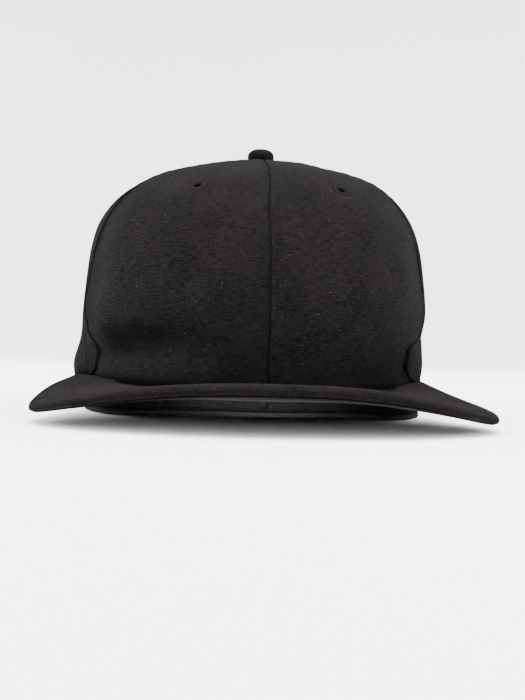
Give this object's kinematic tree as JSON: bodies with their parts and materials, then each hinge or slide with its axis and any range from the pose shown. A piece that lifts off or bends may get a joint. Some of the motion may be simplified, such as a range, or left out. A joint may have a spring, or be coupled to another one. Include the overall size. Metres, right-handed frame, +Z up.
{
  "type": "fitted baseball cap",
  "caption": "Closed-back fitted baseball cap with a structured six-panel crown, a nearly flat visor, sewn eyelets, a top button and an inner sweatband.",
  "frame": {"origin": "centre of the bounding box's bottom face, on the surface that the cap rests on", "axes": "+Z up through the button, -Y ahead along the visor, +X to the right as seen from the front"},
  "size_m": [0.1803, 0.267, 0.1264],
  "materials": {
    "crown_cloth": "matte plain-woven cloth, near black",
    "visor_cloth": "matte plain-woven cloth over a stiff board, near black",
    "button_cloth": "matte cloth stretched over a domed button",
    "eyelet_thread": "close satin stitch in thread",
    "sweatband_cloth": "smooth matte band cloth"
  },
  "bodies": {
    "root": {"front_panel_left": "crown_cloth", "front_panel_right": "crown_cloth", "side_panel_left": "crown_cloth", "side_panel_right": "crown_cloth", "rear_panel_left": "crown_cloth", "rear_panel_right": "crown_cloth", "brim": "visor_cloth", "sweatband": "sweatband_cloth", "button": "button_cloth", "eyelet_front_left": "eyelet_thread", "eyelet_front_right": "eyelet_thread", "eyelet_side_left": "eyelet_thread", "eyelet_side_right": "eyelet_thread", "eyelet_rear_left": "eyelet_thread", "eyelet_rear_right": "eyelet_thread"}
  },
  "joints": []
}
